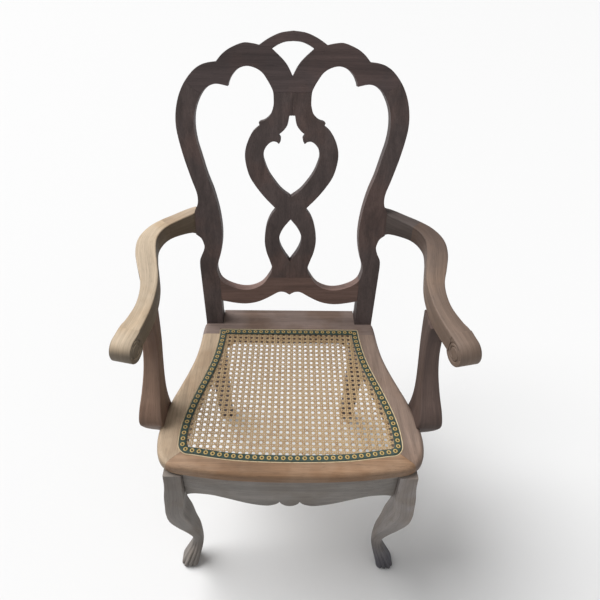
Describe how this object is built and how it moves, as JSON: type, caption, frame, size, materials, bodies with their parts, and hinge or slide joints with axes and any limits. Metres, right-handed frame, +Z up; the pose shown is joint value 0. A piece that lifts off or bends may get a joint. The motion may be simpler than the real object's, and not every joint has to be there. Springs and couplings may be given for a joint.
{
  "type": "wooden armchair",
  "caption": "Open wooden armchair with a pierced, leaning back under an arched crest, a woven cane seat edged with braid, curved arms with rolled ends and bent front legs.",
  "frame": {"origin": "middle of the footprint on the floor, under the middle of the overall box", "axes": "+Z up, -Y the way the sitter faces, +X to the right seen from the front"},
  "size_m": [0.6546, 0.5914, 1.0633],
  "materials": {
    "back_wood": "matt",
    "seat_wood": "matt",
    "leg_wood": "matt",
    "arm_wood": "matt",
    "block_wood": "matt",
    "peg_wood": "matt",
    "cane": "satin",
    "reed": "satin",
    "braid": "matt",
    "steel": "zinc plated"
  },
  "bodies": {
    "root": {"rear_leg_left": "back_wood", "rear_leg_right": "back_wood", "crest_rail": "back_wood", "splat_left_half": "back_wood", "splat_right_half": "back_wood", "lower_back_rail": "back_wood", "seat_frame_front": "seat_wood", "seat_frame_left": "seat_wood", "seat_frame_right": "seat_wood", "seat_frame_rear": "seat_wood", "front_apron": "leg_wood", "side_apron_left": "leg_wood", "side_apron_right": "leg_wood", "rear_apron": "leg_wood", "front_leg_left": "leg_wood", "front_leg_right": "leg_wood", "arm_left": "arm_wood", "arm_right": "arm_wood", "arm_elbow_left": "arm_wood", "arm_elbow_right": "arm_wood", "arm_support_left": "arm_wood", "arm_support_right": "arm_wood", "corner_block_front_left": "block_wood", "corner_block_front_right": "block_wood", "corner_block_rear_left": "block_wood", "corner_block_rear_right": "block_wood", "cane_panel": "cane", "cane_spline": "reed", "braid_trim": "braid", "back_pegs": "peg_wood", "crest_pegs": "peg_wood", "seat_pegs": "peg_wood", "arm_pegs": "peg_wood", "apron_tenons": "peg_wood", "support_screws": "steel", "block_screws": "steel"}
  },
  "joints": []
}
